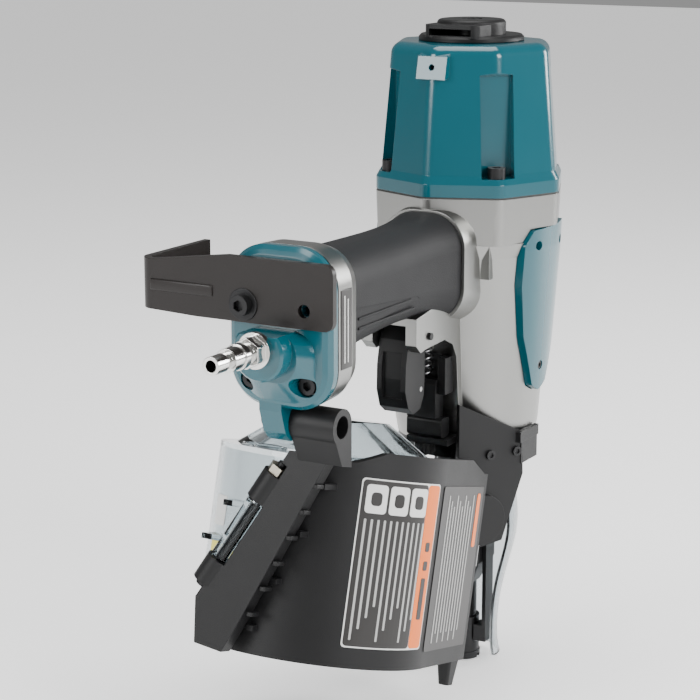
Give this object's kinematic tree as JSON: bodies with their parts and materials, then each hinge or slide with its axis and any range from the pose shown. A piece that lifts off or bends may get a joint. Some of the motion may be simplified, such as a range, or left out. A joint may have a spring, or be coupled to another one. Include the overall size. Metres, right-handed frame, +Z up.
{
  "type": "pneumatic coil nailer",
  "caption": "Pneumatic coil nailer: air-driven power head, rubber grip with trigger, tilted clear-lidded coil canister, sliding safety nose and side belt hook.",
  "frame": {"origin": "centre of the contact foot's lower edge, where the nail leaves the tool", "axes": "+Z up the drive axis from the contact foot to the exhaust cover, +X from the handle towards the drive axis and on past it, +Y to the user's left, the belt hook's side"},
  "size_m": [0.3233, 0.1397, 0.3803],
  "materials": {
    "silver_body": "satin silver paint on cast magnesium, fine texture",
    "teal_gloss": "glossy deep teal moulded skin",
    "black_plastic": "fine matte texture",
    "grip_rubber": "soft moulded rubber, matte",
    "hook_brown": "dark brown-black coated steel bar",
    "dark_steel": "black oxide, slight sheen",
    "steel": "ground steel",
    "chrome": "bright plated",
    "clear_plastic": "clear polycarbonate",
    "frosted_plastic": "slightly cloudy clear plastic",
    "aluminium": "machined",
    "rubber": "moulded rubber",
    "gasket": "dark fibre gasket",
    "brass_nut": "dull plated nut",
    "spring_steel": "drawn wire"
  },
  "bodies": {
    "housing": {"body_housing": "silver_body", "side_plate_right": "teal_gloss", "side_plate_left": "teal_gloss", "cylinder_sleeve": "aluminium", "piston_bumper": "rubber", "head_gasket": "gasket", "head_cap": "teal_gloss", "head_bolts": "dark_steel", "deflector_screw": "dark_steel", "head_valve_spring": "spring_steel", "plate_screws": "dark_steel", "grip_sleeve": "grip_rubber", "end_cap": "teal_gloss", "end_cap_gasket": "gasket", "end_cap_bolts": "dark_steel", "air_plug": "chrome", "belt_hook": "hook_brown", "hook_bolt": "dark_steel", "trigger_pin": "dark_steel", "valve_housing": "black_plastic", "valve_spring": "spring_steel", "driver_guide": "dark_steel", "nose_bolts": "dark_steel", "nose_cover": "black_plastic", "nose_cover_screws": "dark_steel", "nose_guard": "frosted_plastic", "guard_screw": "dark_steel", "feed_guide": "dark_steel", "feed_cylinder": "aluminium", "feed_spring": "spring_steel", "door_pin": "steel", "arm_guide": "black_plastic", "contact_spring": "spring_steel", "magazine_case": "black_plastic", "magazine_arm": "black_plastic", "arm_bolt": "dark_steel", "hinge_pin": "dark_steel", "hinge_nut": "brass_nut", "platform_post": "steel"},
    "deflector": {"exhaust_deflector": "black_plastic"},
    "piston_set": {"piston": "aluminium", "piston_ring": "rubber", "driver_blade": "steel"},
    "head_valve": {"head_valve": "black_plastic"},
    "trigger": {"trigger": "black_plastic"},
    "lever": {"trigger_lever": "steel"},
    "valve_stem": {"valve_stem": "steel"},
    "lock": {"lock_lever": "black_plastic"},
    "contact": {"contact_foot": "dark_steel", "contact_arm": "dark_steel", "contact_pusher": "black_plastic"},
    "dial": {"depth_dial": "dark_steel"},
    "feeder": {"feed_piston": "steel"},
    "pawl": {"feed_pawl": "dark_steel"},
    "door": {"feeder_door": "dark_steel", "latch_pin": "steel"},
    "latch": {"door_latch": "black_plastic"},
    "cap": {"magazine_cap": "clear_plastic"},
    "platform": {"nail_platform": "black_plastic"}
  },
  "joints": [
    {"name": "deflector_turn", "type": "hinge", "parent": "housing", "child": "deflector", "pos_m": [0, 0, 0.374], "axis": [0, 0, 1], "continuous": true},
    {"name": "piston_stroke", "type": "slide", "parent": "housing", "child": "piston_set", "axis": [0, 0, -1], "range_m": [0, 0.0955]},
    {"name": "head_valve_lift", "type": "slide", "parent": "housing", "child": "head_valve", "axis": [0, 0, 1], "range_m": [0, 0.003], "stiffness_N_per_m": 1500, "springref_m": -0.004, "deforming": ["head_valve_spring"]},
    {"name": "trigger_pull", "type": "hinge", "parent": "housing", "child": "trigger", "pos_m": [-0.08, 0, 0.214], "axis": [0, -1, 0], "range_deg": [0, 10], "stiffness_Nm_per_rad": 0.6, "springref_deg": -8.59},
    {"name": "lever_rock", "type": "hinge", "parent": "trigger", "child": "lever", "pos_m": [-0.074, 0, 0.182], "axis": [0, -1, 0], "range_deg": [0, 3], "stiffness_Nm_per_rad": 0.05, "springref_deg": -5.73},
    {"name": "valve_stem_lift", "type": "slide", "parent": "housing", "child": "valve_stem", "axis": [0, 0, 1], "range_m": [0, 0.003], "stiffness_N_per_m": 8, "springref_m": -0.002, "deforming": ["valve_spring"]},
    {"name": "lock_turn", "type": "hinge", "parent": "housing", "child": "lock", "pos_m": [-0.08, 0.018, 0.214], "axis": [0, -1, 0], "range_deg": [0, 60]},
    {"name": "contact_slide", "type": "slide", "parent": "housing", "child": "contact", "axis": [0, 0, 1], "range_m": [0, 0.012], "stiffness_N_per_m": 250, "springref_m": -0.015, "deforming": ["contact_spring"]},
    {"name": "dial_turn", "type": "hinge", "parent": "contact", "child": "dial", "pos_m": [-0.0524, 0, 0.143], "axis": [0, 0, 1], "continuous": true},
    {"name": "feed_stroke", "type": "slide", "parent": "housing", "child": "feeder", "axis": [-0.9636, 0, 0.2672], "range_m": [0, 0.0065], "stiffness_N_per_m": 200, "springref_m": -0.005, "deforming": ["feed_spring"]},
    {"name": "pawl_swing", "type": "hinge", "parent": "feeder", "child": "pawl", "pos_m": [-0.02484, -0.017, 0.07351], "axis": [0.2672, 0, 0.9636], "range_deg": [0, 8], "stiffness_Nm_per_rad": 0.01, "springref_deg": -11.46},
    {"name": "door_swing", "type": "hinge", "parent": "housing", "child": "door", "pos_m": [-0.006, 0.019, 0.085], "axis": [0, 0, -1], "range_deg": [0, 90]},
    {"name": "latch_turn", "type": "hinge", "parent": "door", "child": "latch", "pos_m": [-0.033, 0.0132, 0.072], "axis": [0, 0, -1], "range_deg": [0, 25], "stiffness_Nm_per_rad": 0.03, "springref_deg": -17.19},
    {"name": "cap_swing", "type": "hinge", "parent": "housing", "child": "cap", "pos_m": [-0.18999, 0.013, 0.15979], "axis": [0.2334, -0.4869, 0.8417], "range_deg": [0, 75]},
    {"name": "platform_slide", "type": "slide", "parent": "housing", "child": "platform", "axis": [0.2672, 0, 0.9636], "range_m": [-0.005, 0.03]}
  ],
  "couplings": [
    {"joint": "valve_stem_lift", "follows": "trigger_pull", "m_per_rad": 0.0165}
  ]
}
